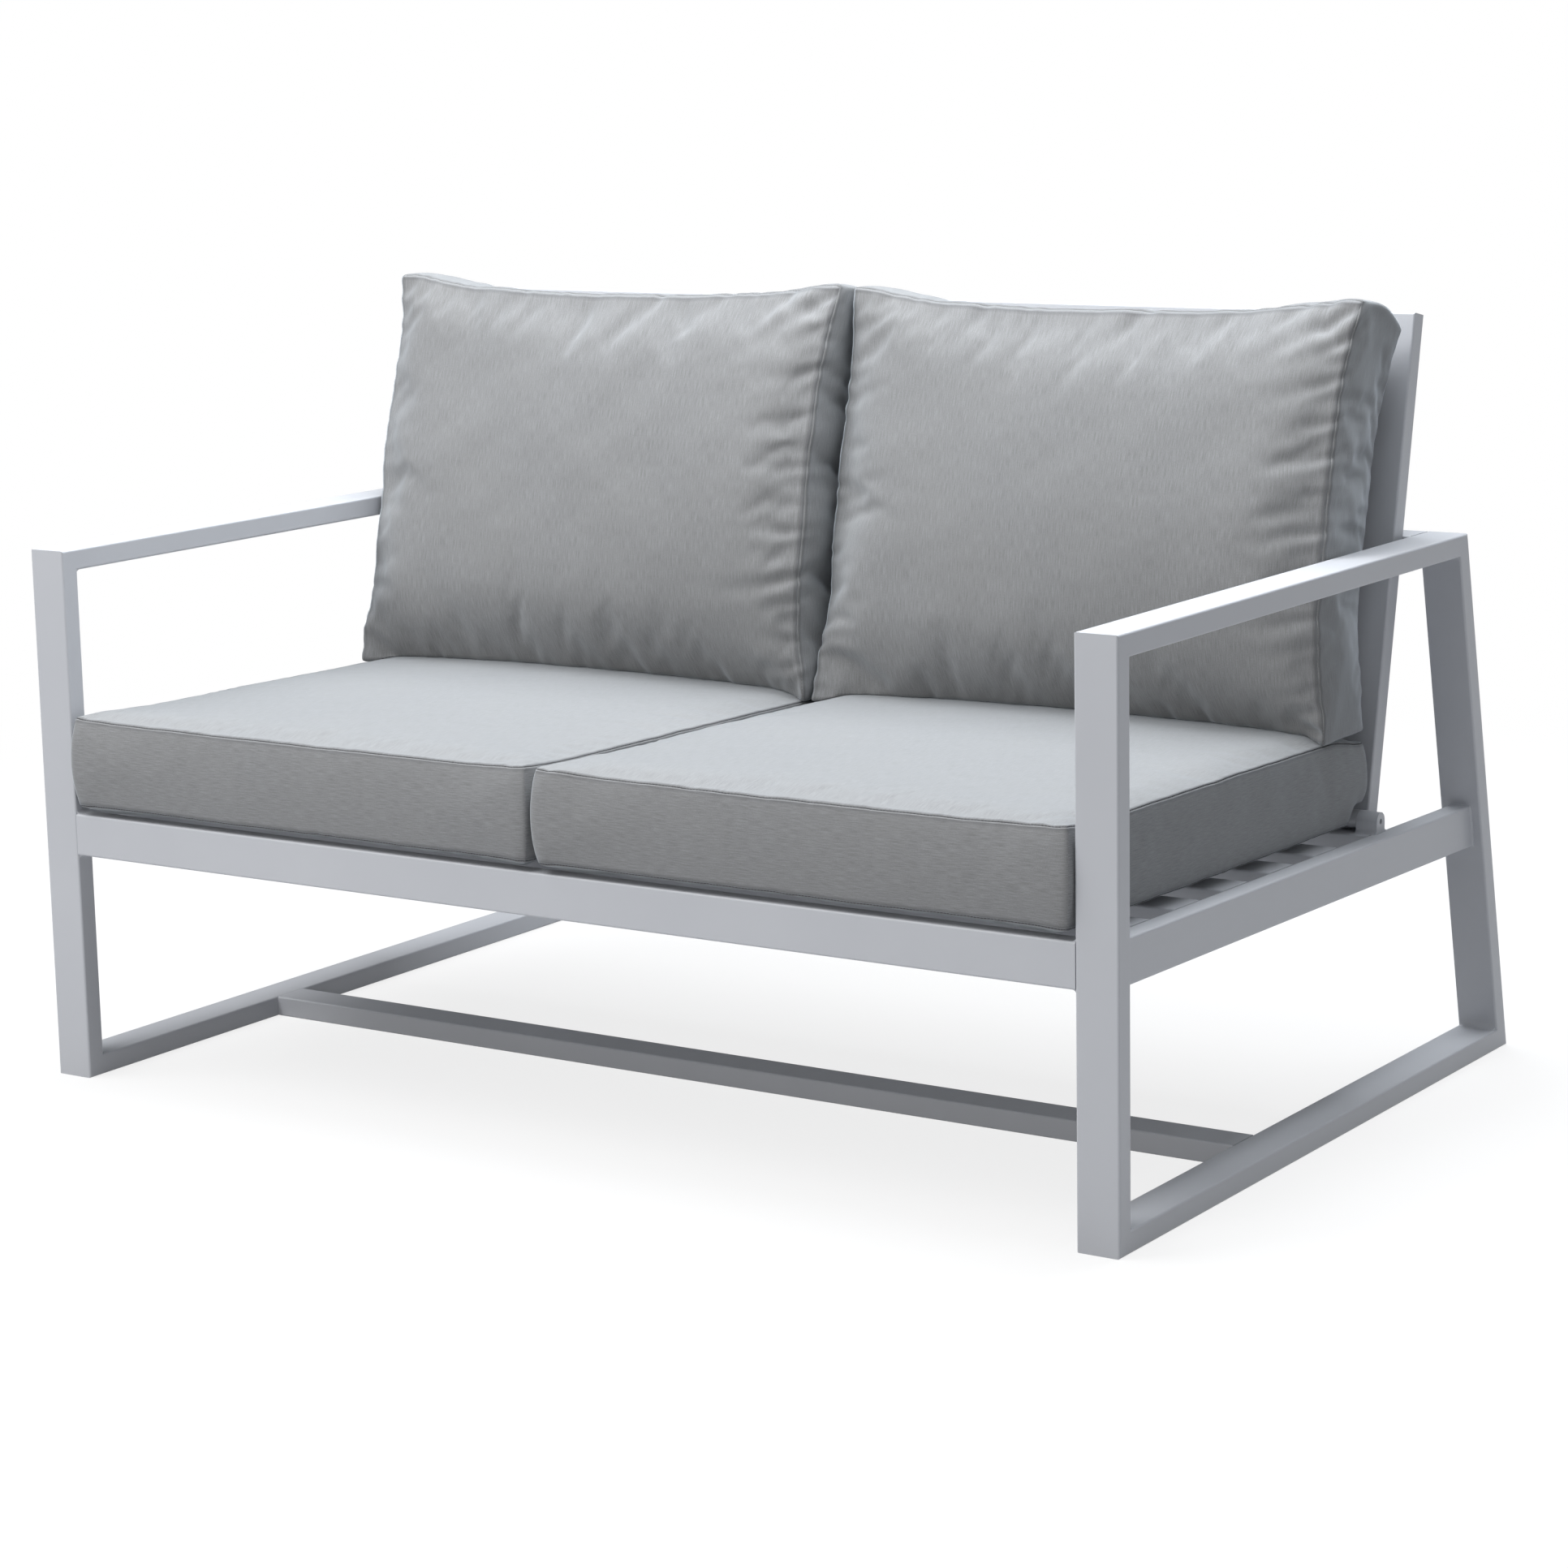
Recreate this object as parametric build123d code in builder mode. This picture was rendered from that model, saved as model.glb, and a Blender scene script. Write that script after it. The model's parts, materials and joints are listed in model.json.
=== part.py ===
from build123d import *
import os
from math import cos, radians, sin, tan

# Patio loveseat: a welded frame of rectangular tube, a back frame on hinge
# pins, slats, and four loose cushions. Millimetres, +Z up, the front faces -Y.
# The origin lies on the floor, in the middle of the whole seat.

os.makedirs("parts", exist_ok=True)

# Overall sizes
overall_width = 1460.0
arm_height = 640.0
runner_length = 975.0

# Frame tube
tube_wide = 50.0
tube_deep = 25.0
tube_wall = 1.5
tube_radius = 2.5
stretcher_setback = 347.0
cross_rail_gap = 0.3

# Seat deck: its plane is the top of the slats. It starts at the top of the front
# rail's rear face and falls to the rear, and setbacks are measured along it.
seat_height = 325.0
seat_fall = 1.03
slat_width = 57.0
slat_thickness = 18.0
slat_wall = 1.2
slat_gap = 53.5
slat_count = 5
rear_rail_setback = 630.0
centre_rail_size = 25.0

# Back frame, leaning back from the seat's plane
back_setback = 672.4
back_lean = 11.3
back_length = 593.0
back_arm_gap = 8.0
back_rail_rise = 40.0
back_slat_count = 4
foot_gap = 1.5
plug_flange = 2.0
plug_depth = 14.0
plug_clearance = 0.15

# Hinge at the foot of each upright
hinge_reach = 20.0
hinge_rise = 13.7
hinge_radius = 10.5
hinge_flare = 5.0
hinge_gap = 0.5
lug_length = 26.0
lug_overlap = 6.0
pin_diameter = 6.0
pin_clearance = 0.2
pin_recess = 5.0
pin_head_diameter = 10.0
pin_head_thickness = 2.0

# Bolt between each upright and its arm
bolt_diameter = 8.0
bolt_clearance = 0.3
bolt_head_diameter = 14.0
bolt_head_thickness = 4.5
bolt_head_chamfer = 1.5
bolt_socket = 5.0
bolt_socket_depth = 2.5
bolt_end = 3.0
spacer_diameter = 16.0
insert_diameter = 11.0
insert_flange_diameter = 14.0
insert_flange = 1.0
insert_length = 15.0
insert_clearance = 0.1

# Cushions
rest_gap = 0.3
cushion_overhang = 5.0
cushion_side_gap = 1.0
cushion_middle_gap = 2.0
cushion_rear_gap = 7.0
seat_cushion_thickness = 112.0
seat_crown = 14.0
back_cushion_thickness = 150.0
back_cushion_drop = 2.0
back_crown = 11.0
back_side_bow = 32.0
back_middle_bow = 47.0
back_cushion_dip = 17.0
seam_inset = 9.0
side_draw = 4.0
notch_clearance = 2.0
overrun = 20.0

# Places worked out from the sizes
front_y = -(runner_length - cushion_overhang) / 2
inner_x = overall_width / 2 - tube_wide
leg_x = overall_width / 2 - tube_wide / 2
rail_inner_x = leg_x - tube_deep / 2
upright_outer_x = inner_x - back_arm_gap
upright_x = upright_outer_x - tube_wide / 2
upright_inner_x = upright_outer_x - tube_wide
across = Vector(1, 0, 0)
eighth_turn = radians(45)

seat = Plane(
    origin=(0, front_y + tube_deep, seat_height),
    x_dir=across,
    z_dir=(0, sin(radians(seat_fall)), cos(radians(seat_fall))),
)
back = Plane(
    origin=seat.from_local_coords((0, back_setback, 0)),
    x_dir=across,
    z_dir=(0, -cos(radians(back_lean)), sin(radians(back_lean))),
)

# The cross rail stands just behind the uprights, and the arms end with it
upright_rear_y = back.origin.Y + (arm_height - back.origin.Z) * tan(radians(back_lean))
upright_rear_y += tube_deep / cos(radians(back_lean))
arm_length = upright_rear_y + cross_rail_gap + tube_wide - front_y


def save(name, part):
    """Labels one finished piece and writes it."""
    part.label = name
    export_step(part, f"parts/{name}.step")


def save_pair(name, part):
    """Writes a right-hand piece and its mirror image on the left."""
    save("right_" + name, part)
    with BuildPart() as left:
        mirror(part, about=Plane.YZ)
    save("left_" + name, left.part)


def save_both(name, part):
    """Writes a piece and its mirror image as one node of two solids."""
    with BuildPart() as both:
        add(part)
        mirror(part, about=Plane.YZ)
    save(name, both.part)


def tube(start, end, wide_direction, wide, deep, wall, cuts=()):
    """A hollow tube along an axis, trimmed to the side that each cut plane faces."""
    axis = end - start
    with BuildPart() as piece:
        with BuildSketch(Plane(origin=start, x_dir=wide_direction, z_dir=axis)):
            RectangleRounded(wide, deep, tube_radius)
            Rectangle(wide - 2 * wall, deep - 2 * wall, mode=Mode.SUBTRACT)
        extrude(amount=axis.length)
        for cut in cuts:
            split(bisect_by=cut, keep=Keep.TOP)
    return piece.part


def facing_across(centre):
    """The plane square to +X at a centre, with its own x axis to the rear."""
    return Plane(origin=centre, x_dir=(0, 1, 0), z_dir=across)


def drill(part, centre, diameter, depth):
    """Cuts a round hole along +X from a centre."""
    with BuildPart() as piece:
        add(part)
        with BuildSketch(facing_across(centre)):
            Circle(diameter / 2)
        extrude(amount=depth, mode=Mode.SUBTRACT)
    return piece.part


# The bolt that ties an upright to its arm, at the arm's middle height
bolt_z = arm_height - tube_deep / 2
bolt_rise = (bolt_z - back.origin.Z + tube_deep / 2 * sin(radians(back_lean))) / cos(radians(back_lean))
bolt_centre = back.from_local_coords((0, bolt_rise, -tube_deep / 2))


def at_bolt(x):
    """The point on the bolt's axis at a distance from the middle."""
    return Vector(x, bolt_centre.Y, bolt_centre.Z)


# Side frames: four mitred tubes each, in a closed loop
corners = [
    Vector(leg_x, front_y, 0),
    Vector(leg_x, front_y, arm_height),
    Vector(leg_x, front_y + arm_length, arm_height),
    Vector(leg_x, front_y + runner_length, 0),
]
side_count = len(corners)
side_directions = [(corners[(i + 1) % side_count] - corners[i]).normalized() for i in range(side_count)]
side_inwards = [direction.cross(across) for direction in side_directions]

for i, name in enumerate(["front_leg", "arm", "rear_leg", "runner"]):
    start = corners[i]
    end = corners[(i + 1) % side_count]
    before = side_directions[i - 1]
    along = side_directions[i]
    after = side_directions[(i + 1) % side_count]
    to_axis = side_inwards[i] * (tube_deep / 2)
    cuts = [Plane(origin=start, z_dir=before + along), Plane(origin=end, z_dir=-(along + after))]
    member = tube(start + to_axis, end + to_axis, across, tube_wide, tube_deep, tube_wall, cuts)
    if name == "arm":
        insert_hole = insert_diameter + 2 * insert_clearance
        member = drill(member, at_bolt(inner_x - overrun), insert_hole, overrun * 2)
    save_pair(name, member)

# Straight rails between the side frames
rail_y = front_y + tube_deep / 2
rail_z = seat_height - tube_wide / 2
save("front_rail", tube(
    Vector(-inner_x, rail_y, rail_z), Vector(inner_x, rail_y, rail_z),
    (0, 0, 1), tube_wide, tube_deep, tube_wall,
))
stretcher_y = front_y + stretcher_setback + tube_wide / 2
save("floor_stretcher", tube(
    Vector(-inner_x, stretcher_y, tube_deep / 2), Vector(inner_x, stretcher_y, tube_deep / 2),
    (0, 1, 0), tube_wide, tube_deep, tube_wall,
))
cross_rail_y = front_y + arm_length - tube_wide / 2
cross_rail_z = arm_height - tube_deep / 2
save("rear_cross_rail", tube(
    Vector(-inner_x, cross_rail_y, cross_rail_z), Vector(inner_x, cross_rail_y, cross_rail_z),
    (0, 1, 0), tube_wide, tube_deep, tube_wall,
))

# Seat deck: side rails, rear rail, slats and the rail that carries them
behind_front = Plane(origin=(0, front_y + tube_deep, 0), z_dir=(0, 1, 0))
before_rear_leg = Plane(origin=corners[2] + side_inwards[2] * tube_deep, z_dir=side_inwards[2])
seat_rail = tube(
    seat.from_local_coords((leg_x, -tube_deep, -tube_wide / 2)),
    seat.from_local_coords((leg_x, runner_length, -tube_wide / 2)),
    seat.z_dir, tube_wide, tube_deep, tube_wall, [behind_front, before_rear_leg],
)
save_pair("seat_rail", seat_rail)


def deck_bar(setback, width, thickness, wall):
    """A tube across the seat, flush with the top of the side rails."""
    middle_y = setback + width / 2
    start = seat.from_local_coords((-rail_inner_x, middle_y, -thickness / 2))
    end = seat.from_local_coords((rail_inner_x, middle_y, -thickness / 2))
    return tube(start, end, seat.y_dir, width, thickness, wall)


save("rear_seat_rail", deck_bar(rear_rail_setback, tube_wide, tube_deep, tube_wall))
for i in range(slat_count):
    slat_setback = slat_gap + i * (slat_width + slat_gap)
    save(f"seat_slat_{i + 1}", deck_bar(slat_setback, slat_width, slat_thickness, slat_wall))

centre_z = -slat_thickness - centre_rail_size / 2
save("centre_seat_rail", tube(
    seat.from_local_coords((0, -tube_deep, centre_z)),
    seat.from_local_coords((0, rear_rail_setback, centre_z)),
    across, centre_rail_size, centre_rail_size, tube_wall, [behind_front],
))

# Back frame: mitred uprights and top rail, bottom rail and slats
mitre_origin = back.from_local_coords((upright_outer_x, back_length, 0))
mitre_outwards = back.from_local_coords((1, -1, 0)) - back.origin
upright_foot = foot_gap + plug_flange
upright = tube(
    back.from_local_coords((upright_x, upright_foot, -tube_deep / 2)),
    back.from_local_coords((upright_x, back_length, -tube_deep / 2)),
    across, tube_wide, tube_deep, tube_wall, [Plane(origin=mitre_origin, z_dir=mitre_outwards)],
)
bolt_hole = bolt_diameter + 2 * bolt_clearance
upright = drill(upright, at_bolt(upright_inner_x - overrun), bolt_hole, tube_wide + 2 * overrun)
save_pair("back_upright", upright)

mirrored_origin = Vector(-mitre_origin.X, mitre_origin.Y, mitre_origin.Z)
mirrored_inwards = Vector(mitre_outwards.X, -mitre_outwards.Y, -mitre_outwards.Z)
top_rail_rise = back_length - tube_wide / 2
save("back_top_rail", tube(
    back.from_local_coords((-upright_outer_x, top_rail_rise, -tube_deep / 2)),
    back.from_local_coords((upright_outer_x, top_rail_rise, -tube_deep / 2)),
    back.y_dir, tube_wide, tube_deep, tube_wall,
    [
        Plane(origin=mitre_origin, z_dir=-mitre_outwards),
        Plane(origin=mirrored_origin, z_dir=mirrored_inwards),
    ],
))


def back_bar(rise, width, thickness, wall):
    """A tube between the uprights, flush with their front faces."""
    middle_rise = rise + width / 2
    start = back.from_local_coords((-upright_inner_x, middle_rise, -thickness / 2))
    end = back.from_local_coords((upright_inner_x, middle_rise, -thickness / 2))
    return tube(start, end, back.y_dir, width, thickness, wall)


save("back_bottom_rail", back_bar(back_rail_rise, tube_wide, tube_deep, tube_wall))


def slat_rises(start, space, count, share_below):
    """Where slats begin in a space, evenly spread, with a share of a gap below the first."""
    gap = (space - count * slat_width) / (count + 1 / 2)
    return [start + gap * share_below + i * (slat_width + gap) for i in range(count)]


# The slats leave the bolts' heads free: some lie below them and some above, half a gap away
back_rail_top = back_rail_rise + tube_wide
space_below = bolt_rise - back_rail_top
space_above = back_length - tube_wide - bolt_rise
count_below = round(back_slat_count * space_below / (space_below + space_above))
rises = slat_rises(back_rail_top, space_below, count_below, 1)
rises += slat_rises(bolt_rise, space_above, back_slat_count - count_below, 1 / 2)
for i, slat_rise in enumerate(rises):
    save(f"back_slat_{i + 1}", back_bar(slat_rise, slat_width, slat_thickness, slat_wall))

# Plastic plugs that close the lower ends of the uprights
plug_inset = tube_wall + plug_clearance
plug_plane = Plane(
    origin=back.from_local_coords((upright_x, foot_gap, -tube_deep / 2)), x_dir=across, z_dir=back.y_dir
)
with BuildPart() as upright_plug:
    with BuildSketch(plug_plane):
        RectangleRounded(tube_wide, tube_deep, tube_radius)
    extrude(amount=plug_flange)
    with BuildSketch(plug_plane.offset(plug_flange)):
        Rectangle(tube_wide - 2 * plug_inset, tube_deep - 2 * plug_inset)
    extrude(amount=plug_depth)
save_both("upright_plugs", upright_plug.part)

# Hinge at each foot: a lug welded to the rails, a knuckle on the upright, a pin
pin_setback = back_setback - hinge_reach
lug_outer_x = rail_inner_x + lug_overlap
lug_inner_x = upright_outer_x + hinge_gap
knuckle_inner_x = upright_outer_x - lug_length
pin_centre = seat.from_local_coords((0, pin_setback, hinge_rise))
pin_back = back.to_local_coords(pin_centre)
lug_plane = Plane(
    origin=seat.from_local_coords((lug_inner_x, pin_setback, 0)), x_dir=seat.y_dir, z_dir=across
)
with BuildPart() as hinge_lug:
    with BuildSketch(lug_plane):
        with BuildLine():
            foot = hinge_radius + hinge_flare
            toe = hinge_flare * (1 - cos(eighth_turn))
            front_flare = ThreePointArc(
                (-foot, 0), (-hinge_radius - toe, toe), (-hinge_radius, hinge_flare)
            )
            front_side = Line(front_flare @ 1, (-hinge_radius, hinge_rise))
            ThreePointArc(
                front_side @ 1,
                (-hinge_radius * cos(eighth_turn), hinge_rise + hinge_radius * sin(eighth_turn)),
                (0, hinge_rise + hinge_radius),
            )
            mirror(about=Plane.YZ)
            Line((-foot, 0), (foot, 0))
        make_face()
        with Locations((0, hinge_rise)):
            Circle(pin_diameter / 2 + pin_clearance, mode=Mode.SUBTRACT)
    extrude(amount=lug_outer_x - lug_inner_x)
save_pair("hinge_lug", hinge_lug.part)

knuckle_plane = Plane(
    origin=back.from_local_coords((knuckle_inner_x, pin_back.Y, 0)), x_dir=-back.z_dir, z_dir=across
)
with BuildPart() as back_knuckle:
    with BuildSketch(knuckle_plane):
        with Locations((-pin_back.Z, 0)):
            Circle(hinge_radius)
        with Locations((0, upright_foot - pin_back.Y)):
            Rectangle(
                pin_back.Z, pin_back.Y + hinge_radius - upright_foot, align=(Align.MAX, Align.MIN)
            )
        with Locations((-pin_back.Z, 0)):
            Circle(pin_diameter / 2 + pin_clearance, mode=Mode.SUBTRACT)
    extrude(amount=lug_length)
save_pair("back_knuckle", back_knuckle.part)

pin_plane = facing_across((knuckle_inner_x - pin_head_thickness, pin_centre.Y, pin_centre.Z))
with BuildPart() as hinge_pin:
    with BuildSketch(pin_plane):
        Circle(pin_head_diameter / 2)
    extrude(amount=pin_head_thickness)
    with BuildSketch(pin_plane.offset(pin_head_thickness)):
        Circle(pin_diameter / 2)
    extrude(amount=lug_outer_x - pin_recess - knuckle_inner_x)
save_pair("hinge_pin", hinge_pin.part)

# Bolt, spacer and threaded insert at each arm
bolt_reach = inner_x + insert_length + bolt_end
bolt_head_plane = facing_across(at_bolt(upright_inner_x - bolt_head_thickness))
with BuildPart() as back_bolt:
    with BuildSketch(bolt_head_plane):
        Circle(bolt_head_diameter / 2)
    extrude(amount=bolt_head_thickness)
    chamfer(back_bolt.edges().sort_by(Axis.X)[0], length=bolt_head_chamfer)
    with BuildSketch(bolt_head_plane):
        RegularPolygon(bolt_socket / 2, 6, major_radius=False)
    extrude(amount=bolt_socket_depth, mode=Mode.SUBTRACT)
    with BuildSketch(facing_across(at_bolt(upright_inner_x))):
        Circle(bolt_diameter / 2)
    extrude(amount=bolt_reach - upright_inner_x)
save_both("back_bolts", back_bolt.part)

with BuildPart() as back_spacer:
    with BuildSketch(facing_across(at_bolt(upright_outer_x))):
        Circle(spacer_diameter / 2)
        Circle(bolt_diameter / 2 + bolt_clearance, mode=Mode.SUBTRACT)
    extrude(amount=back_arm_gap - insert_flange)
save_both("back_spacers", back_spacer.part)

with BuildPart() as arm_insert:
    with BuildSketch(facing_across(at_bolt(inner_x - insert_flange))):
        Circle(insert_flange_diameter / 2)
        Circle(bolt_diameter / 2 + insert_clearance, mode=Mode.SUBTRACT)
    extrude(amount=insert_flange)
    with BuildSketch(facing_across(at_bolt(inner_x))):
        Circle(insert_diameter / 2)
        Circle(bolt_diameter / 2 + insert_clearance, mode=Mode.SUBTRACT)
    extrude(amount=insert_length)
save_both("arm_inserts", arm_insert.part)


def pillow(base, width, depth, outlines):
    """Lofts a cushion off a base plane through outlines: rise, inset and how far a side is drawn in."""
    with BuildPart() as body:
        for rise, inset, draw in outlines:
            half_x = width / 2 - inset
            half_y = depth / 2 - inset
            with BuildSketch(base.offset(rise)):
                if draw:
                    with BuildLine():
                        front = SagittaArc((-half_x, -half_y), (half_x, -half_y), draw)
                        right = SagittaArc(front @ 1, (half_x, half_y), draw)
                        rear = SagittaArc(right @ 1, (-half_x, half_y), draw)
                        SagittaArc(rear @ 1, front @ 0, draw)
                    make_face()
                else:
                    Rectangle(2 * half_x, 2 * half_y)
        loft(ruled=True)
    return body.part


# Seat cushions, laid on the slats. A side share gives the height on the thickness and the
# inset on the seam's inset; a crown share gives the height on the crown, the inset on the width.
cushion_width = inner_x - cushion_side_gap - cushion_middle_gap / 2
cushion_x = cushion_middle_gap / 2 + cushion_width / 2
seat_cushion_start = -tube_deep - cushion_overhang
seat_cushion_depth = back_setback - cushion_rear_gap - seat_cushion_start
seat_cushion_y = seat_cushion_start + seat_cushion_depth / 2
seat_base = Plane(
    origin=seat.from_local_coords((cushion_x, seat_cushion_y, 0)), x_dir=across, z_dir=seat.z_dir
)
seat_side_shares = [(0, 1), (0.15, 0), (0.9, 0), (1, 1)]
seat_crown_shares = [(0.5, 0.045), (0.85, 0.1), (1, 0.165)]
seat_outlines = [
    (max(rest_gap, seat_cushion_thickness * rise), seam_inset * inset, side_draw)
    for rise, inset in seat_side_shares
]
seat_outlines += [
    (seat_cushion_thickness + seat_crown * rise, cushion_width * inset, 0) for rise, inset in seat_crown_shares
]
seat_shape = pillow(seat_base, cushion_width, seat_cushion_depth, seat_outlines)

notch_radius = hinge_radius + notch_clearance
notch_start = knuckle_inner_x - pin_head_thickness - notch_clearance
notch_plane = Plane(
    origin=seat.from_local_coords((notch_start, pin_setback, 0)), x_dir=seat.y_dir, z_dir=across
)
with BuildPart() as seat_cushion:
    add(seat_shape)
    with BuildSketch(notch_plane) as notch:
        with Locations((-notch_radius, 0)):
            Rectangle(
                2 * notch_radius + hinge_reach, hinge_rise + notch_radius, align=(Align.MIN, Align.MIN)
            )
        fillet(notch.vertices().group_by(Axis.Y)[-1].sort_by(Axis.X)[0], radius=notch_radius)
    extrude(amount=inner_x - notch_start, mode=Mode.SUBTRACT)
save_pair("seat_cushion", seat_cushion.part)

# Back cushions, standing on the seat cushions against the back frame. Each is lofted from side
# to side through upright sections: flat at the rear, bowed at the front, and fuller and lower
# towards the middle. An edge share gives the distance from the back on the thickness, and the
# inset on the seam's inset.
back_cushion_length = back_length - back_cushion_drop
back_edge_shares = [(0, 2), (0.1, 0.3), (0.93, 0), (1, 1)]
back_place_shares = [0.75, 0.4]
half_places = [(cushion_width / 2, seam_inset), (cushion_width / 2 - seam_inset, 0)]
half_places += [(cushion_width / 2 * share, 0) for share in back_place_shares]
section_places = [(-x, inset) for x, inset in half_places] + [(0, 0)] + half_places[::-1]

with BuildPart() as back_shape:
    for x, inset in section_places:
        swell = 1 - (2 * x / cushion_width) ** 2
        seam = back_cushion_thickness - inset + back_crown * swell
        bow = back_side_bow + (back_middle_bow - back_side_bow) * swell
        low = inset
        top = back_cushion_length - inset - back_cushion_dip * swell
        edge = [(seam_inset * share, max(rest_gap, seam * rise)) for rise, share in back_edge_shares]
        lower = [(low + indent, distance) for indent, distance in edge]
        upper = [(top - indent, distance) for indent, distance in edge]
        section_origin = back.from_local_coords((cushion_x + x, 0, 0))
        with BuildSketch(Plane(origin=section_origin, x_dir=back.y_dir, z_dir=across)):
            with BuildLine():
                SagittaArc(upper[-1], lower[-1], -bow)
                Polyline(*lower[::-1], *upper)
            make_face()
    loft(ruled=True)
    foot_middle = back.from_local_coords((cushion_x, 0, 0))
    with BuildSketch(Plane(origin=foot_middle, x_dir=across, z_dir=back.z_dir)):
        with BuildLine():
            side_arc = SagittaArc((cushion_width / 2, 0), (cushion_width / 2, back_cushion_length), side_draw)
            Line(side_arc @ 1, side_arc @ 0)
        make_face()
        mirror(about=Plane.YZ)
    extrude(amount=back_cushion_thickness + back_crown + back_middle_bow, mode=Mode.SUBTRACT)

seat_top = seat.offset(seat_cushion_thickness + rest_gap)
with BuildPart() as back_cushion:
    add(back_shape.part)
    split(bisect_by=seat_top, keep=Keep.TOP)
    with Locations(seat.z_dir * rest_gap):
        add(seat_shape, mode=Mode.SUBTRACT)
save_pair("back_cushion", back_cushion.part)
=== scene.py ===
import json
import math

import bmesh
import bpy
import numpy as np
from mathutils import Matrix, Vector
from mathutils.bvhtree import BVHTree


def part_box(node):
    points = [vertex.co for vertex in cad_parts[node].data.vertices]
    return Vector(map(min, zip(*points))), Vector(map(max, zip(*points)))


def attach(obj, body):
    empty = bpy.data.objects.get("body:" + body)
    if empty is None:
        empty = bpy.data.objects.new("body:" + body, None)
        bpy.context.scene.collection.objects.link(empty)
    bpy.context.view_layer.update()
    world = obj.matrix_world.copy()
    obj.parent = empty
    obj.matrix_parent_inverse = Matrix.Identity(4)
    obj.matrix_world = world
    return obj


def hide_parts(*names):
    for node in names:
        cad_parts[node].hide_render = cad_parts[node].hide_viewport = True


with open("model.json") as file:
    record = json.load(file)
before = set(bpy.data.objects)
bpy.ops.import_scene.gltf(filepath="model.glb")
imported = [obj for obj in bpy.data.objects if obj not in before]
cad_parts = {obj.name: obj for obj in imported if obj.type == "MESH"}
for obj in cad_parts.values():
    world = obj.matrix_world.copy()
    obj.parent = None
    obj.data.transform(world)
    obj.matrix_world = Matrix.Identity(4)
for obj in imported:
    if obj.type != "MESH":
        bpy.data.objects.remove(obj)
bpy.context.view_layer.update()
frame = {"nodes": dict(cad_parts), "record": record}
NODES = frame["nodes"]

# Lengths are in metres, angles in degrees
# The frame's tube, and how the planes of the seat and the back lie
TUBE_WIDE = 0.050
TUBE_DEEP = 0.025
TUBE_RADIUS = 0.0025
SEAT_FALL = 1.03
BACK_LEAN = 11.3
BACK_SETBACK = 0.6724

# Ground fillets in the side frames' inner corners and at the front rail's ends
FILLET = 0.006
RAIL_FILLET = 0.005
FILLET_STEPS = 6

# Weld bead round a side seat rail's rear end: radius, place, length of a step, and unevenness
BEAD = 0.0023
BEAD_INSET = 0.0006
BEAD_STEP = 0.0011
BEAD_WAVES = (10, 0.004, 0.010)
BEAD_UNEVEN = 0.0004
BEAD_SEEDS = {"left": 6, "right": 5}

# Both kinds of cushion: half a cover's width, its middle, the air between the pieces, and the
# share of a half side from which a point counts as on the cover's edge
HALF_WIDTH = 0.3382
CUSHION_X = 0.340
REST_GAP = 0.0004
SIDE_SLACK = 0.0004
STAND_GAP = 0.0008
ON_EDGE = 0.999

# Seat cushion, in the seat's plane
SEAT_START = -0.030
SEAT_END = 0.6650
SEAT_HALF = (SEAT_END - SEAT_START) / 2
SEAT_MIDDLE = (SEAT_END + SEAT_START) / 2
SEAT_SEAM = 0.115
SEAT_CROWN = 0.013
SEAT_CORNER_RISE = 0.004
SEAT_REAR_DROP = 0.012
SEAT_LIFT = 0.009
SEAT_SIDE_DRAW = 0.0035
SEAT_SIDE_BOW = 0.002
SEAT_END_DRAW = 0.005
SEAT_END_BOW = 0.004
SEAT_FRONT_REACH = 0.005
SEAT_CORNER = 0.006
SEAT_CORNER_DRAW = 0.010
# How flat its crown stays along x and y, and where the rear drop and the lift below begin
SEAT_CROWN_X = 4
SEAT_CROWN_Y = 5
SEAT_DROP_START = 0.72
SEAT_LIFT_START = 0.84

# The seat cushion's rear outer corner over the hinge: where the press fades in along x and y,
# how high it lifts the underside, and the height above which the foam keeps its shape
HINGE_X = (0.622, 0.641)
HINGE_Y = (0.612, 0.638)
HINGE_CLEAR = 0.0272
PRESS_TOP = 0.06

# Back cushions, in the back's plane
BACK_LENGTH = 0.590
BACK_DIP = 0.024
BACK_TOP_DROP = 0.018
BACK_TOP_BOW = 0.007
BACK_SWELL = 0.006
BACK_LIFT = 0.022
BACK_TUCK = 0.050
BACK_TUCK_SHARE = 0.26
BACK_TUCK_POWER = 2.2
REAR_DRAW = 0.011
REAR_BOW = 0.022
REAR_DRAW_POWER = 1.6
FRONT_DRAW = 0.003
BACK_CORNER = 0.007
GUSSET = 0.165
# How flat the crown stays along x and y, how full the bow is, and where the rear lift begins
BACK_CROWN_X = 5
BACK_CROWN_Y = 2.2
BACK_BOW_POWER = 0.8
BACK_LIFT_START = 0.86

# The seat's top seen from the back's plane: its height, and the sine and cosine of its slope
STAND_HEIGHT = 0.1125
STAND_SINE = 0.1783
STAND_COSINE = 0.984

# Depths of each back cushion along its left and right seams, as photographed
BACK_FORMS = {
    "right": {
        "left_depth": 0.146, "left_flare": 0.014, "flare_power": 4,
        "right_depth": 0.152, "right_bow": 0.037, "right_tuck": 0.010, "crown": 0.040,
    },
    "left": {
        "left_depth": 0.166, "left_flare": 0.020, "flare_power": 1,
        "right_depth": 0.166, "right_bow": 0.034, "right_tuck": 0.0, "crown": 0.028,
    },
}

# Panels are cut from the cloth this far apart, for each axis and for its second side
PANEL_STEP = 1.7
PANEL_FLIP = 0.9

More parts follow.
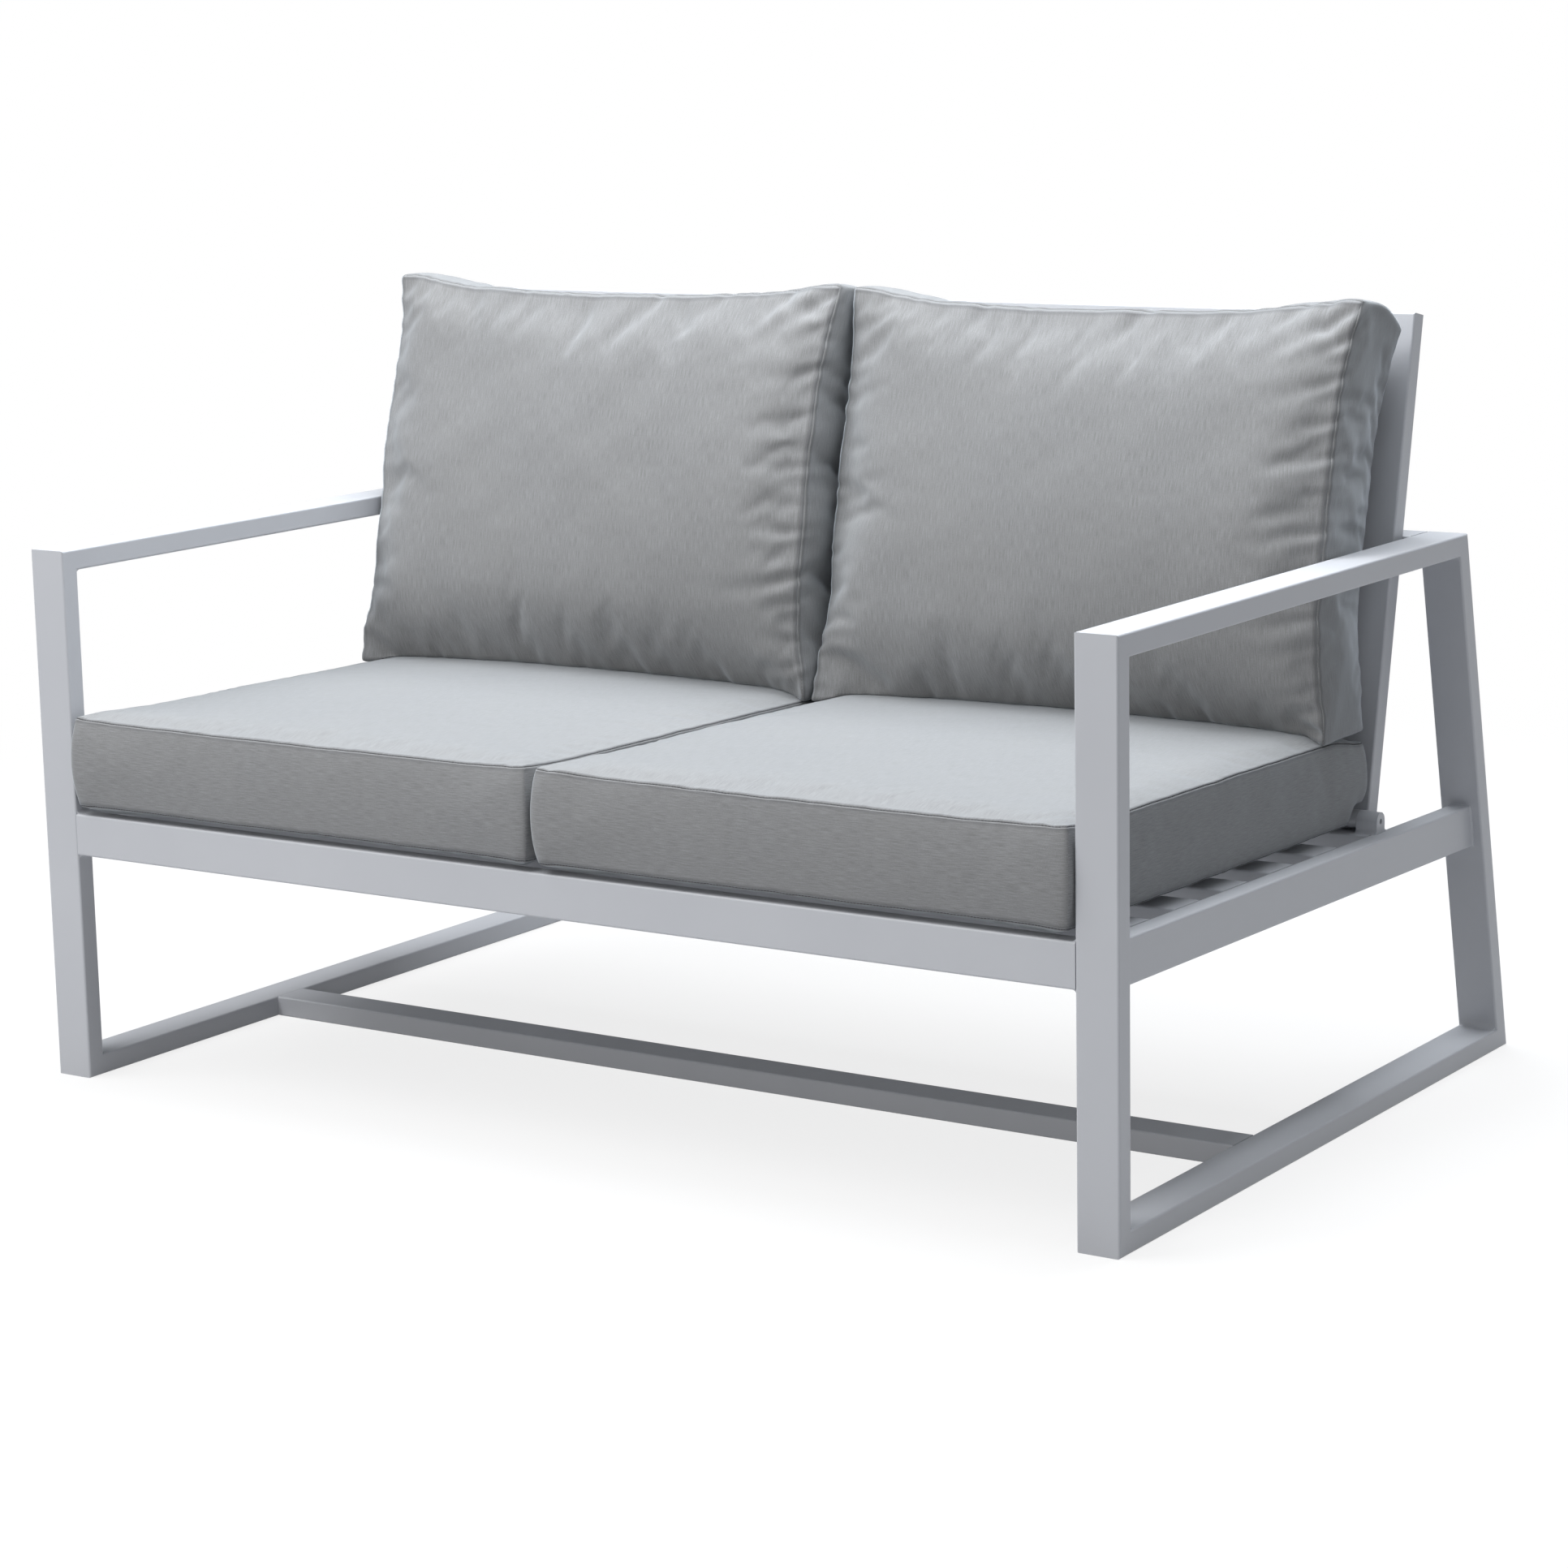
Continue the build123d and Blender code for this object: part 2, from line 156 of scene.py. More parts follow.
# Cover cloth while it is blown up, and the terms along x, y and z that bring it back in form
CLOTH_FRAMES = 20
SETTLE_TERMS = (5, 5, 4)
CLOTH = {
    "quality": 5, "mass": 0.15, "air_damping": 2.0, "tension_stiffness": 30,
    "compression_stiffness": 30, "shear_stiffness": 12, "bending_stiffness": 0.4,
    "use_pressure": True, "vertex_group_shrink": "seams", "shrink_min": 0.0,
}

# Swells of the covers: how many waves, the shortest and the longest, and the small ones' share
BROAD_SWELLS = (24, 0.06, 0.22)
SMALL_SWELLS = (24, 0.02, 0.06)
SMALL_SHARE = 0.25

# Gathers beside the seams: their waves, the patches that they come in, how far they reach,
# and the steps that keep the patterns of the four sides apart
GATHERS = (9, 0.014, 0.034)
PATCHES = (5, 0.10, 0.30)
GATHER_REACH = 0.014
GATHER_GUSSET = 0.08
SIDE_STEP = 3.0
END_STEP = 7.0

# Folds: overall height, bend, widths at the seam and beyond it, and how each fades
FOLD_HEIGHT = 0.7
FOLD_BEND = 0.15
FOLD_NARROW = 0.6
FOLD_WIDENING = 0.9
FOLD_FADE = 1.3
FOLD_TAIL = 0.02
FOLD_AT_SEAM = 0.55
FOLD_RISE = 0.45
FOLD_RISE_END = 0.18
RIDGE_HEIGHT = 0.55
RIDGE_SHIFT = 1.9
RIDGE_WIDTH = 1.3
GUSSET_FADE = (-0.9, 0.3)

# Seams: the least mark that counts as one, half the groove's width, its depth, and the
# stitches in it
SEAM_MARK = 0.99
SEAM_HALF_WIDE = 0.0015
SEAM_DEEP = 0.0011
STITCH_SHARE = 0.62
STITCH_WIDE = 0.0007
STITCH_THICK = 0.0005
STITCH_SUNK = 0.0004
STITCH_LEAST = 0.0015

# How far a back cushion's seed is from its seat's
BACK_SEED = 5

# Studio: lamps by name, place, side, watts and colour, all aimed at one spot, and the camera
LAMP_AIM = (0, 0, 0.4)
LAMPS = (
    ("key", (-1.6, -1.8, 3.6), 2.4, 118, (1, 1, 1)),
    ("top", (0.1, 0.5, 3.3), 2.4, 158, (0.93, 0.965, 1.0)),
    ("front", (-0.4, -4.4, 1.5), 2.2, 38, (1.0, 0.985, 0.96)),
    ("side", (4.4, -0.8, 1.1), 1.8, 9, (1, 1, 1)),
)
CAMERA_PLACE = (2.588, -3.872, 1.253)
CAMERA_YAW = 33.655
CAMERA_PITCH = -11.096
CAMERA_ROLL = -1.125
CAMERA_LENS = 91.1
CAMERA_SENSOR = 36

# Floor: half its side, where it turns from shade to white, and its share of white near by
FLOOR_HALF = 30.0
FLOOR_TURN = (1.0, 2.8)
FLOOR_NEAR = 0.80
SKY_COLOUR = (0.92, 0.96, 1.0, 1)
SKY_STRENGTH = 0.23
WHITE = (1, 1, 1, 1)


def plane_frame(origin, normal):
    """A matrix whose z axis is a plane's normal and whose x axis runs across the seat."""
    across = Vector((1, 0, 0))
    up = Vector(normal).cross(across)
    rotation = Matrix((across, up, Vector(normal))).transposed()
    return Matrix.Translation(origin) @ rotation.to_4x4()


rail_low, rail_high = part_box("front_rail")
fall = math.radians(SEAT_FALL)
lean = math.radians(BACK_LEAN)
SEAT = plane_frame((0, rail_high.y, rail_high.z), (0, math.sin(fall), math.cos(fall)))
BACK = plane_frame(SEAT @ Vector((0, BACK_SETBACK, 0)), (0, -math.cos(lean), math.sin(lean)))


class Value:
    """A shader socket that takes part in sums and products."""

    def __init__(self, finish, socket):
        self.finish = finish
        self.socket = socket

    def combined(self, operation, other):
        settings = {"operation": operation}
        return self.finish.node("ShaderNodeMath", settings, {0: self, 1: other})

    def __add__(self, other):
        return self.combined("ADD", other)

    def __mul__(self, other):
        return self.combined("MULTIPLY", other)

    __radd__ = __add__
    __rmul__ = __mul__


class Finish:
    """A material under construction, with one method that makes any node."""

    def __init__(self, name, **constants):
        self.material = bpy.data.materials.new(name)
        self.material.use_nodes = True
        self.tree = self.material.node_tree
        self.shader = self.tree.nodes["Principled BSDF"]
        for key, value in constants.items():
            self.shader.inputs[key.replace("_", " ")].default_value = value

    def link(self, socket, value):
        if isinstance(value, Value):
            self.tree.links.new(value.socket, socket)
        else:
            socket.default_value = value

    def node(self, kind, settings=None, inputs=None, output=0):
        made = self.tree.nodes.new(kind)
        for key, value in (settings or {}).items():
            setattr(made, key, value)
        for key, value in (inputs or {}).items():
            self.link(made.inputs[key], value)
        return Value(self, made.outputs[output])

    def place(self):
        """The piece's own Object coordinates."""
        return self.node("ShaderNodeTexCoord", output="Object")

    def noise(self, place, scale, detail=2.0, roughness=0.5):
        inputs = {"Vector": place, "Scale": scale, "Detail": detail, "Roughness": roughness}
        return self.node("ShaderNodeTexNoise", {}, inputs)

    def stretched(self, place, scales):
        return self.node("ShaderNodeVectorMath", {"operation": "MULTIPLY"}, {0: place, 1: scales})

    def mix(self, factor, first, second):
        inputs = {0: factor, 6: first, 7: second}
        return self.node("ShaderNodeMix", {"data_type": "RGBA"}, inputs, output=2)

    def spread(self, value, low, high, bottom=0.0, top=1.0):
        """Maps a value from one range to another, held at the ends."""
        inputs = {0: value, 1: low, 2: high, 3: bottom, 4: top}
        return self.node("ShaderNodeMapRange", {}, inputs)

    def feed(self, name, value):
        self.link(self.shader.inputs[name], value)

    def bump(self, height, strength, distance):
        inputs = {"Strength": strength, "Distance": distance, "Height": height}
        self.feed("Normal", self.node("ShaderNodeBump", {}, inputs))


def powder_coat():
    """Light grey satin powder coat with a fine orange peel."""
    darker, lighter = (0.520, 0.532, 0.565, 1), (0.575, 0.587, 0.617, 1)
    finish = Finish("frame_paint", Roughness=0.4, Specular_IOR_Level=0.45)
    place = finish.place()
    cloud = finish.noise(place, scale=7.0, detail=3.0)
    peel = finish.noise(place, scale=900.0, detail=1.0)
    grain = finish.noise(place, scale=2600.0, detail=0.0)
    finish.feed("Base Color", finish.mix(cloud, darker, lighter))
    gloss = finish.spread(cloud + peel * 0.4, low=0.4, high=1.0, bottom=0.36, top=0.46)
    finish.feed("Roughness", gloss)
    finish.bump(peel * 0.7 + grain * 0.3, strength=0.25, distance=0.0002)
    return finish.material


def bright_steel():
    """Zinc-plated steel with faint patches."""
    darker, lighter = (0.46, 0.46, 0.45, 1), (0.66, 0.66, 0.64, 1)
    finish = Finish("bright_steel", Metallic=1.0)
    patches = finish.noise(finish.place(), scale=260.0, detail=4.0)
    finish.feed("Base Color", finish.mix(patches, darker, lighter))
    finish.feed("Roughness", finish.spread(patches, low=0.3, high=0.7, bottom=0.28, top=0.42))
    return finish.material


def grey_plastic():
    """Moulded grey plastic with a fine grain."""
    darker, lighter = (0.30, 0.31, 0.33, 1), (0.36, 0.37, 0.39, 1)
    finish = Finish("grey_plastic", Specular_IOR_Level=0.4)
    grain = finish.noise(finish.place(), scale=1800.0, detail=2.0)
    finish.feed("Base Color", finish.mix(grain, darker, lighter))
    finish.feed("Roughness", finish.spread(grain, low=0.3, high=0.7, bottom=0.5, top=0.62))
    finish.bump(grain, strength=0.3, distance=0.0001)
    return finish.material


def canvas():
    """Mid grey heathered canvas: dark and light yarn along the warp, and near-black painted shade
    along the middles of the seam grooves.
    """
    dark_yarn, light_yarn = (0.202, 0.202, 0.202, 1), (0.312, 0.315, 0.322, 1)
    warm_cloud, painted_seam_shade = (0.285, 0.280, 0.270, 1), (0.05, 0.05, 0.055, 1)
    finish = Finish(
        "cushion_fabric", Roughness=0.9, Specular_IOR_Level=0.12,
        Sheen_Weight=0.65, Sheen_Roughness=0.45, Sheen_Tint=(0.86, 0.93, 1.0, 1),
    )
    place = finish.node("ShaderNodeUVMap", {"uv_map": "panel"})
    long_yarn = finish.stretched(place, (1.0, 0.06, 1.0))
    streaks = finish.noise(long_yarn, scale=950.0, detail=3.0, roughness=0.65)
    fine = finish.noise(finish.stretched(place, (1.0, 0.3, 1.0)), scale=2200.0, detail=1.0)
    cloud = finish.noise(place, scale=6.0, detail=4.0)
    heather = finish.spread(streaks * 0.65 + fine * 0.35, low=0.36, high=0.64)
    body = finish.mix(heather, dark_yarn, light_yarn)
    clouded = finish.spread(cloud, low=0.3, high=0.7, bottom=0.0, top=0.16)
    body = finish.mix(clouded, body, warm_cloud)
    # Painted shade: the seam mark darkens the middles of the seam grooves towards near black.
    seam = finish.node("ShaderNodeAttribute", {"attribute_name": "seam"}, output="Fac")
    finish.feed("Base Color", finish.mix(seam * 0.75, body, painted_seam_shade))
    finish.bump(streaks * 0.6 + fine * 0.4, strength=0.15, distance=0.0002)
    return finish.material


def thread():
    """Dark grey polyester thread."""
    darker, lighter = (0.045, 0.045, 0.05, 1), (0.10, 0.10, 0.105, 1)
    finish = Finish("seam_thread", Roughness=0.7)
    twist = finish.noise(finish.place(), scale=2500.0, detail=1.0)
    finish.feed("Base Color", finish.mix(twist, darker, lighter))
    return finish.material


PAINT = powder_coat()
SLOT_FINISH = {
    "frame_paint": PAINT, "bright_steel": bright_steel(), "grey_plastic": grey_plastic(),
    "cushion_fabric": canvas(),
}
THREAD = thread()

for row in frame["record"]["subparts"]:
    materials = NODES[row["node"]].data.materials
    materials.clear()
    materials.append(SLOT_FINISH[row["material_slot"]])


def linked(name, data):
    """Brings a mesh, a lamp or a camera into the scene as an object."""
    obj = bpy.data.objects.new(name, data)
    bpy.context.scene.collection.objects.link(obj)
    return obj


def mesh_of(name, bm):
    mesh = bpy.data.meshes.new(name)
    bm.to_mesh(mesh)
    bm.free()
    return mesh


def new_piece(name, bm, finish, body):
    """Makes an object of a bmesh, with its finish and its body."""
    obj = linked(name, mesh_of(name, bm))
    obj.data.materials.append(finish)
    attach(obj, body)


def coordinates(mesh):
    spots = np.zeros(len(mesh.vertices) * 3)
    mesh.vertices.foreach_get("co", spots)
    return spots.reshape(-1, 3)


def normals_of(mesh):
    normals = np.zeros(len(mesh.vertices) * 3)
    mesh.vertex_normals.foreach_get("vector", normals)
    return normals.reshape(-1, 3)


def place_vertices(mesh, spots):
    mesh.vertices.foreach_set("co", np.asarray(spots, np.float32).ravel())
    mesh.update()


def shade_smooth(mesh):
    for polygon in mesh.polygons:
        polygon.use_smooth = True


def evaluated_mesh(obj):
    """A new mesh with the object's modifiers in it."""
    graph = bpy.context.evaluated_depsgraph_get()
    return bpy.data.meshes.new_from_object(obj.evaluated_get(graph))


def waves(spots, count, low, high, seed):
    """A sum of plane waves with wavelengths between two limits, from a fixed seed."""
    rng = np.random.default_rng(seed)
    total = np.zeros(len(spots))
    for _ in range(count):
        direction = rng.normal(size=spots.shape[1])
        direction /= np.linalg.norm(direction)
        length = rng.uniform(low, high)
        total += np.sin(spots @ direction * 2 * math.pi / length + rng.uniform(0, 2 * math.pi))
    return total / math.sqrt(count)


def smooth_step(value, low, high):
    share = np.clip((value - low) / (high - low), 0, 1)
    return share * share * (3 - 2 * share)


def fillet_wedge(bm, corner, first, second, along, half_length, radius=FILLET):
    """Fills the corner between two directions with a concave wedge, as a ground weld leaves it."""
    corner = Vector(corner)
    first, second, along = (Vector(v).normalized() for v in (first, second, along))
    angle = first.angle(second)
    reach = radius / math.tan(angle / 2)
    centre = corner + (first + second).normalized() * (radius / math.sin(angle / 2))
    axis = first.cross(second).normalized()
    start = bm.verts.new(corner + first * reach - along * half_length)
    bmesh.ops.spin(
        bm, geom=[start], cent=centre - along * half_length, axis=axis, dvec=(0, 0, 0),
        angle=-(math.pi - angle), steps=FILLET_STEPS,
    )
    rim = [start]
    while True:
        onwards = [e.other_vert(rim[-1]) for e in rim[-1].link_edges]
        onwards = [v for v in onwards if v not in rim]
        if not onwards:
            break
        rim.append(onwards[0])
    tip = bm.verts.new(corner - along * half_length)
    face = bm.faces.new(rim + [tip])
    pushed = bmesh.ops.extrude_face_region(bm, geom=[face])
    moved = [v for v in pushed["geom"] if isinstance(v, bmesh.types.BMVert)]
    bmesh.ops.translate(bm, verts=moved, vec=along * half_length * 2)


def frame_details():
    """Fillets in the corners of both side frames and of the front rail, and the weld beads."""
    across, rearwards, forwards, up, down = (1, 0, 0), (0, 1, 0), (0, -1, 0), (0, 0, 1), (0, 0, -1)
    half = TUBE_WIDE / 2 - TUBE_RADIUS
    half_rail = TUBE_DEEP / 2 - TUBE_RADIUS
    rail_y = (rail_low.y + rail_high.y) / 2
    bm = bmesh.new()
    for side, sign in (("left", -1), ("right", 1)):
        arm_low, arm_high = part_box(f"{side}_arm")
        _, runner_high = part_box(f"{side}_runner")
        leg_low, leg_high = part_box(f"{side}_front_leg")
        x = sign * (abs(leg_low.x) + abs(leg_high.x)) / 2
        slope = Vector((0, runner_high.y - arm_high.y, -arm_high.z)).normalized()
        inwards = slope.cross(Vector(across))
        inwards = inwards if inwards.y < 0 else -inwards
        inner = Vector((x, arm_high.y, arm_high.z)) + inwards * TUBE_DEEP
        under_arm = inner + slope * ((arm_low.z - inner.z) / slope.z)
        on_runner = inner + slope * ((runner_high.z - inner.z) / slope.z)
        fillet_wedge(bm, (x, leg_high.y, arm_low.z), rearwards, down, across, half)
        fillet_wedge(bm, (x, leg_high.y, runner_high.z), rearwards, up, across, half)
        fillet_wedge(bm, under_arm, forwards, slope, across, half)
        fillet_wedge(bm, on_runner, forwards, -slope, across, half)
        for rail_z, away in ((rail_high.z, up), (rail_low.z, down)):
            rail_end = (sign * rail_high.x, rail_y, rail_z)
            fillet_wedge(bm, rail_end, (-sign, 0, 0), away, rearwards, half_rail, RAIL_FILLET)
        rail_end_weld(side, x, inner, slope)
    bmesh.ops.recalc_face_normals(bm, faces=bm.faces)
    new_piece("corner_fillets", bm, PAINT, "frame")


def bead_mesh(points, radius):
    """A closed round bead along some points, as a mesh."""
    curve = bpy.data.curves.new("bead", "CURVE")
    curve.dimensions = "3D"
    curve.bevel_depth = radius
    curve.bevel_resolution = 2
    spline = curve.splines.new("POLY")
    spline.points.add(len(points) - 1)
    for spot, place in zip(spline.points, points):
        spot.co = (*place, 1)
    spline.use_cyclic_u = True
    obj = bpy.data.objects.new("bead", curve)
    mesh = bpy.data.meshes.new_from_object(obj)
    bpy.data.objects.remove(obj)
    return mesh


def rail_end_weld(side, x, inner, slope):
    """Lays the weld bead round the side seat rail's end on the rear leg."""
    seat_turn = SEAT.to_3x3()
    seat_rise = seat_turn @ Vector((0, 0, 1))
    along = seat_turn @ Vector((0, 1, 0))
    normal = slope.cross(Vector((1, 0, 0))).normalized()
    half = TUBE_DEEP / 2 - BEAD_INSET
    top, bottom = -BEAD_INSET, BEAD_INSET - TUBE_WIDE
    corners = []
    for offset_x, rise in ((-half, top), (half, top), (half, bottom), (-half, bottom)):
        start = SEAT.translation + seat_rise * rise
        spot = start + along * ((inner - start).dot(normal) / along.dot(normal))
        corners.append(Vector((x + offset_x, spot.y, spot.z)))
    points = []
    for i, corner in enumerate(corners):
        following = corners[(i + 1) % 4]
        steps = max(2, round((following - corner).length / BEAD_STEP))
        points += [corner.lerp(following, k / steps) for k in range(steps)]
    mesh = bead_mesh(points, BEAD)
    spots = coordinates(mesh)
    swell = waves(spots, *BEAD_WAVES, BEAD_SEEDS[side])
    centre = np.array([x, corners[0].y, (corners[0].z + corners[2].z) / 2])
    away = spots - centre
    away /= np.linalg.norm(away, axis=1, keepdims=True)
    place_vertices(mesh, spots + away * (BEAD_UNEVEN * swell)[:, None])
    shade_smooth(mesh)
    bm = bmesh.new()
    bm.from_mesh(mesh)
    bpy.data.meshes.remove(mesh)
    bmesh.ops.remove_doubles(bm, verts=bm.verts, dist=1e-6)
    new_piece(f"{side}_rail_weld", bm, PAINT, "frame")


def at_edge(share):
    """Where a unit coordinate is on the outside of the cover."""
    return np.abs(share) > ON_EDGE


def cover_mesh(name, cells, half_sides):
    """A closed cover of six panels in unit coordinates, with its UV map and its seams marked."""
    bm = bmesh.new()
    bmesh.ops.create_cube(bm, size=2)
    for axis, count in enumerate(cells):
        along = [e for e in bm.edges if abs((e.verts[1].co - e.verts[0].co)[axis]) > 1]
        bmesh.ops.subdivide_edges(bm, edges=along, cuts=count - 1, use_grid_fill=True)
    layer = bm.loops.layers.uv.new("panel")
    for face in bm.faces:
        normal = face.normal
        axis = max(range(3), key=lambda i: abs(normal[i]))
        across, along = ((2, 1), (2, 0), (0, 1))[axis]
        shift = PANEL_STEP * axis + PANEL_FLIP * (normal[axis] > 0)
        for loop in face.loops:
            spot = loop.vert.co
            loop[layer].uv = (
                spot[across] * half_sides[across] + shift, spot[along] * half_sides[along] + shift
            )
    mesh = mesh_of(name, bm)
    unit = coordinates(mesh)
    seam = (at_edge(unit[:, 0]) | at_edge(unit[:, 1])) & at_edge(unit[:, 2])
    marks = mesh.attributes.new("seam", "FLOAT", "POINT")
    marks.data.foreach_set("value", seam.astype(np.float32))
    places = mesh.attributes.new("unit", "FLOAT_VECTOR", "POINT")
    places.data.foreach_set("vector", unit.astype(np.float32).ravel())
    return mesh


def unit_places(mesh):
    values = np.zeros(len(mesh.vertices) * 3, np.float32)
    mesh.attributes["unit"].data.foreach_get("vector", values)
    return values.reshape(-1, 3).astype(float)


def inflate(obj, pressure, gather, cap):
    """Lets the cover swell as cloth, with its seams gathered, and caps how far a point moves."""
    before = coordinates(obj.data)
    group = obj.vertex_groups.new(name="seams")
    for i, item in enumerate(obj.data.attributes["seam"].data):
        if item.value > 0:
            group.add([i], 1.0, "REPLACE")
    cloth = obj.modifiers.new("Cloth", "CLOTH")
    for key, value in CLOTH.items():
        setattr(cloth.settings, key, value)
    cloth.settings.shrink_max = gather
    cloth.settings.uniform_pressure_force = pressure
    cloth.settings.effector_weights.gravity = 0
    cloth.collision_settings.use_collision = False
    scene = bpy.context.scene
    for number in range(1, CLOTH_FRAMES + 1):
        scene.frame_set(number)
    swollen = evaluated_mesh(obj)
    after = coordinates(swollen)
    bpy.data.meshes.remove(swollen)
    obj.modifiers.remove(cloth)
    obj.vertex_groups.clear()
    scene.frame_set(1)
    move = after - before
    length = np.maximum(np.linalg.norm(move, axis=1, keepdims=True), 1e-9)
    place_vertices(obj.data, before + move * (cap * np.tanh(length / cap) / length))


def settle(obj, unit, target):
    """Brings the swollen cover back to its measured form and keeps only its folds."""
    px, py, pz = unit.T
    powers = np.ndindex(SETTLE_TERMS)
    basis = np.column_stack([px**i * py**j * pz**k for i, j, k in powers])
    spots = coordinates(obj.data)
    answer, *_ = np.linalg.lstsq(basis, target - spots, rcond=None)
    place_vertices(obj.data, spots + basis @ answer)


def subdivide(obj):
    """Applies one level of subdivision."""
    smooth = obj.modifiers.new("Subdivision", "SUBSURF")
    smooth.levels = 1
    smooth.render_levels = 1
    finer = evaluated_mesh(obj)
    obj.modifiers.remove(smooth)
    coarse = obj.data
    obj.data = finer
    bpy.data.meshes.remove(coarse)


def flattened(unit, half_x, half_y, gusset):
    """Places on the front panel, with the side panels folded out beside it."""
    out = (1 - unit[:, 2]) / 2 * gusset
    px, py = unit[:, 0], unit[:, 1]
    u = px * half_x + np.where(at_edge(px), np.sign(px) * out, 0)
    v = py * half_y + np.where(at_edge(py), np.sign(py) * out, 0)
    return u, v


def fold_heights(u, v, folds, half_x, half_y):
    """Valleys with a ridge on each side, each from a place on a seam to one inside the panel."""
    height = np.zeros(len(u))
    for u0, v0, u1, v1, depth, width in folds:
        start = np.array([(2 * u0 - 1) * half_x, (2 * v0 - 1) * half_y])
        end = np.array([(2 * u1 - 1) * half_x, (2 * v1 - 1) * half_y])
        along = end - start
        length = np.linalg.norm(along)
        along /= length
        t = ((u - start[0]) * along[0] + (v - start[1]) * along[1]) / length
        side = -(u - start[0]) * along[1] + (v - start[1]) * along[0]
        side += FOLD_BEND * length * (t * (1 - t)) * math.copysign(1, u1 - u0)
        inside = np.clip(t, 0, 1)
        wide = width * (FOLD_NARROW + FOLD_WIDENING * inside)
        taper = np.where(t > 0, (1 - inside) ** FOLD_FADE, np.exp(t * length / FOLD_TAIL))
        taper = taper * (FOLD_AT_SEAM + FOLD_RISE * smooth_step(t, 0.0, FOLD_RISE_END))
        valley = np.exp(-((side / wide) ** 2))
        ridge = np.exp(-(((side - RIDGE_SHIFT * wide) / (RIDGE_WIDTH * wide)) ** 2))
        ridge += np.exp(-(((side + RIDGE_SHIFT * wide) / (RIDGE_WIDTH * wide)) ** 2))
        height += FOLD_HEIGHT * depth * taper * (RIDGE_HEIGHT * ridge - valley)
    return height


def seam_gathers(unit, half_x, half_y, seed, depth):
    """Fine gathers square to the seams, gone a couple of centimetres away."""
    to_x = (1 - np.abs(unit[:, 0])) * half_x
    to_y = (1 - np.abs(unit[:, 1])) * half_y
    down = (1 - np.abs(unit[:, 2])) * GATHER_GUSSET
    distance = np.sort(np.column_stack([to_x, to_y, down]), axis=1)[:, 1]
    up_a_side = unit[:, 1] * half_y + SIDE_STEP * np.sign(unit[:, 0])
    along_an_end = unit[:, 0] * half_x + END_STEP
    place = np.where(to_x < to_y, up_a_side, along_an_end)[:, None]
    gathers = waves(place, *GATHERS, seed)
    patchy = 0.5 + 0.5 * np.clip(waves(place, *PATCHES, seed + 1), -1, 1)
    return depth * gathers * patchy * np.exp(-distance / GATHER_REACH)


def round_corners(x, y, half_x, half_y, radius):
    """Pulls the outline's corners in to a radius."""
    over_x = np.abs(x) - (half_x - radius)
    over_y = np.abs(y) - (half_y - radius)
    corner = (over_x > 0) & (over_y > 0)
    away = np.maximum(np.hypot(over_x, over_y), 1e-9)
    share = np.where(corner, np.maximum(over_x, over_y) / away, 1.0)
    new_x = np.where(corner, np.sign(x) * (half_x - radius + over_x * share), x)
    new_y = np.where(corner, np.sign(y) * (half_y - radius + over_y * share), y)
    return new_x, new_y


def seat_shape(unit):
    """Foam block with a low crown and a bulging boxing, in the seat's own plane."""
    px, py, pz = unit.T
    bulge = 1 - pz**2
    at_seams = 1 - bulge
    draw = SEAT_SIDE_DRAW * at_seams + SEAT_SIDE_BOW * (1 - py**2)
    x = px * (HALF_WIDTH - draw * at_edge(px))
    ends = SEAT_END_BOW * (1 - px**2) + SEAT_END_DRAW * at_seams * at_edge(py)
    y = py * (SEAT_HALF + SEAT_FRONT_REACH * (py < 0) - ends)
    radius = SEAT_CORNER + SEAT_CORNER_DRAW * at_seams
    x, y = round_corners(x, y, HALF_WIDTH, SEAT_HALF, radius)
    dome = (1 - np.abs(px) ** SEAT_CROWN_X) * (1 - np.abs(py) ** SEAT_CROWN_Y)
    edge = np.maximum(np.abs(px), np.abs(py))
    low = REST_GAP + SEAT_LIFT * smooth_step(edge, SEAT_LIFT_START, 1.0)
    front_corners = SEAT_CORNER_RISE * (py < 0) * np.abs(py) ** 3 * px**2
    high = SEAT_SEAM + SEAT_CROWN * dome + front_corners
    high -= SEAT_REAR_DROP * smooth_step(py, SEAT_DROP_START, 1.0)
    z = low + (high - low) * (pz + 1) / 2
    return np.column_stack([x, y, z])


